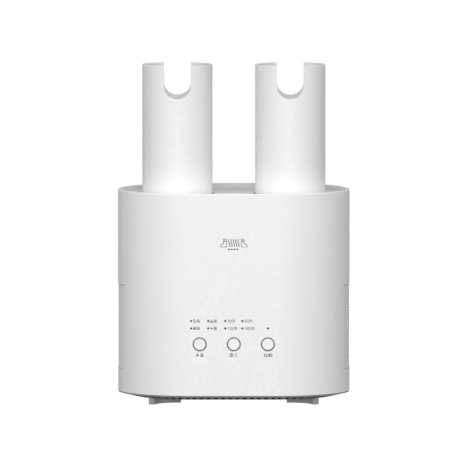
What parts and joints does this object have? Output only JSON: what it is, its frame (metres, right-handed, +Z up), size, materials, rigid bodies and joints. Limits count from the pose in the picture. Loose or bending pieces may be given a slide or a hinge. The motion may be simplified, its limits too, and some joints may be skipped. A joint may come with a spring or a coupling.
{
  "type": "boot dryer",
  "caption": "Free-standing warm-air boot dryer: oval casing with push buttons, two notched outlet tubes that push down into it, and a blower and heater inside.",
  "frame": {"origin": "on the surface that the feet stand on, under the middle of the casing", "axes": "+Z up along the tubes, +X to the right as seen from the buttons, -Y towards the front with the buttons"},
  "size_m": [0.22, 0.14, 0.3207],
  "materials": {
    "white_body": "satin white, fine moulded texture",
    "white_tube": "satin white, fine moulded texture",
    "white_button": "satin white",
    "grey_ring": "satin grey",
    "foot_rubber": "matt grey rubber",
    "seal_rubber": "matt grey silicone",
    "grey_base": "matt dark grey, moulded texture",
    "lamp_window": "smoked, polished",
    "duct_plastic": "plain moulded",
    "black_plastic": "plain moulded",
    "circuit_board": "lacquered board",
    "heater_metal": "bare aluminium fins",
    "steel": "zinc plated"
  },
  "bodies": {
    "base": {"outer_shell": "white_body", "top_deck": "white_body", "base_pan": "grey_base", "foot_front_left": "foot_rubber", "foot_front_right": "foot_rubber", "foot_rear_left": "foot_rubber", "foot_rear_right": "foot_rubber", "left_tube_seal": "seal_rubber", "left_sleeve": "duct_plastic", "left_side_grille": "white_body", "left_dust_filter": "duct_plastic", "right_tube_seal": "seal_rubber", "right_sleeve": "duct_plastic", "right_side_grille": "white_body", "right_dust_filter": "duct_plastic", "fan_housing": "black_plastic", "fan_motor": "steel", "heater_frame": "duct_plastic", "ptc_heater": "heater_metal", "thermal_fuse": "steel", "air_plenum": "duct_plastic", "control_board": "circuit_board", "power_board": "circuit_board", "ozone_module": "black_plastic", "cord_inlet": "seal_rubber", "mode_bezel": "grey_ring", "mode_switch": "black_plastic", "timer_bezel": "grey_ring", "timer_switch": "black_plastic", "power_bezel": "grey_ring", "power_switch": "black_plastic", "mode_lamp_1": "lamp_window", "mode_lamp_2": "lamp_window", "mode_lamp_3": "lamp_window", "mode_lamp_4": "lamp_window", "timer_lamp_1": "lamp_window", "timer_lamp_2": "lamp_window", "timer_lamp_3": "lamp_window", "timer_lamp_4": "lamp_window", "power_lamp": "lamp_window", "base_screw_1": "steel", "base_screw_2": "steel", "base_screw_3": "steel", "base_screw_4": "steel"},
    "left_outlet": {"left_tube": "white_tube", "left_tube_stop": "duct_plastic", "left_outlet_grid": "duct_plastic"},
    "right_outlet": {"right_tube": "white_tube", "right_tube_stop": "duct_plastic", "right_outlet_grid": "duct_plastic"},
    "mode_key": {"mode_button": "white_button"},
    "timer_key": {"timer_button": "white_button"},
    "power_key": {"power_button": "white_button"},
    "fan": {"fan_impeller": "black_plastic", "fan_shaft": "steel"}
  },
  "joints": [
    {"name": "left_tube_slide", "type": "slide", "parent": "base", "child": "left_outlet", "axis": [0, 0, 1], "range_m": [-0.09, 0]},
    {"name": "right_tube_slide", "type": "slide", "parent": "base", "child": "right_outlet", "axis": [0, 0, 1], "range_m": [-0.09, 0]},
    {"name": "mode_press", "type": "slide", "parent": "base", "child": "mode_key", "axis": [0, 1, 0], "range_m": [0, 0.0008], "stiffness_N_per_m": 2000, "springref_m": -0.0004},
    {"name": "timer_press", "type": "slide", "parent": "base", "child": "timer_key", "axis": [0, 1, 0], "range_m": [0, 0.0008], "stiffness_N_per_m": 2000, "springref_m": -0.0004},
    {"name": "power_press", "type": "slide", "parent": "base", "child": "power_key", "axis": [0, 1, 0], "range_m": [0, 0.0008], "stiffness_N_per_m": 2000, "springref_m": -0.0004},
    {"name": "fan_spin", "type": "hinge", "parent": "base", "child": "fan", "pos_m": [0, 0, 0.03], "axis": [0, 0, 1], "continuous": true}
  ]
}
